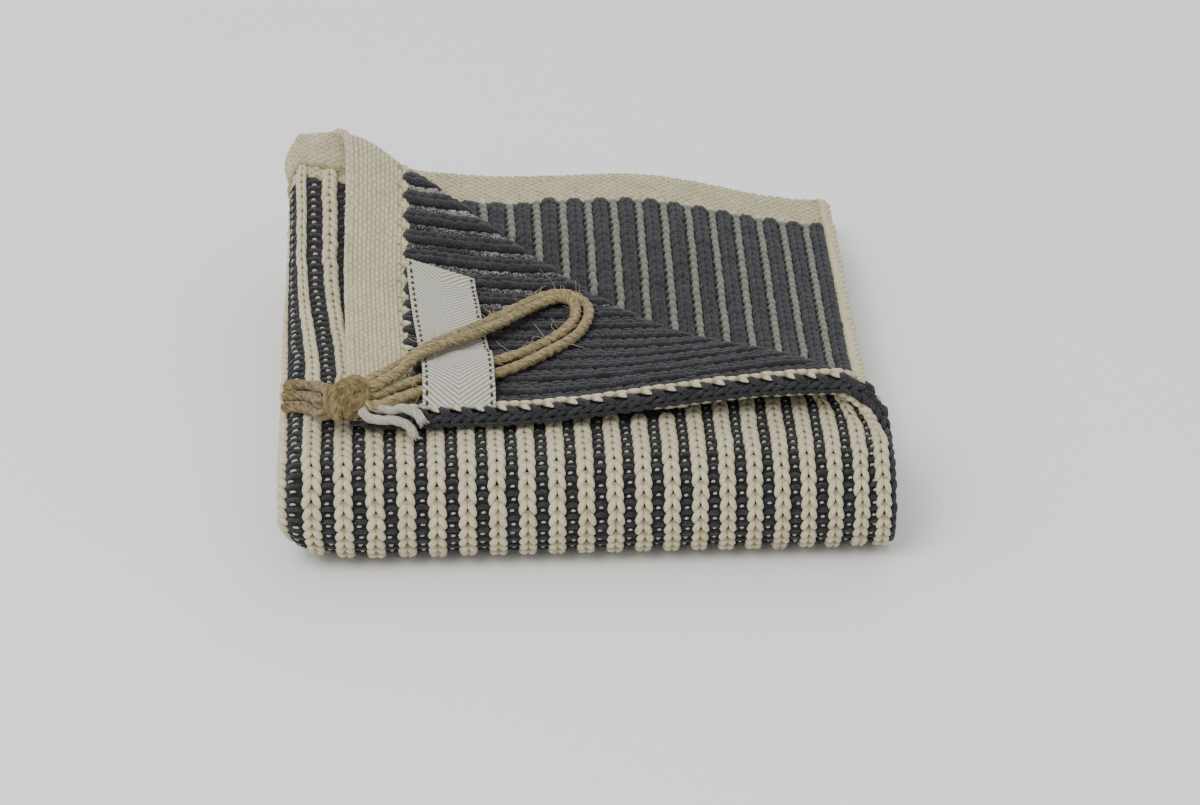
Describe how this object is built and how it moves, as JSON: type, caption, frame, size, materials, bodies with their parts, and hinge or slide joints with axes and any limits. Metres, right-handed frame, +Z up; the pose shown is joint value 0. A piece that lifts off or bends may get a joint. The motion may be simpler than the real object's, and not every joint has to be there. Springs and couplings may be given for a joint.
{
  "type": "folded knitted hand towel",
  "caption": "Ribbed two-colour knitted cotton hand towel, folded in quarters with one corner turned back, with a woven label, a hanging loop's ends and a twine tie.",
  "frame": {"origin": "on the floor, under the middle of the folded towel's box", "axes": "+Z up, the towel's front fold towards -Y, its side fold at -X, and the open far edges towards +Y"},
  "size_m": [0.1335, 0.1445, 0.0411],
  "materials": {
    "ribbed_cotton": "two-colour cream and charcoal cotton rib knit",
    "label_tape": "white herringbone woven tape with brown stitching",
    "jute_twine": "fuzzy twisted jute",
    "hanger_cotton": "soft cream cotton yarn"
  },
  "bodies": {
    "root": {"towel": "ribbed_cotton", "label": "label_tape", "tie_knot": "jute_twine", "tie_loop_outer": "jute_twine", "tie_loop_inner": "jute_twine", "tie_tail_back": "jute_twine", "tie_tail_middle": "jute_twine", "tie_tail_front": "jute_twine", "hanger_end_front": "hanger_cotton", "hanger_end_back": "hanger_cotton"}
  },
  "joints": []
}
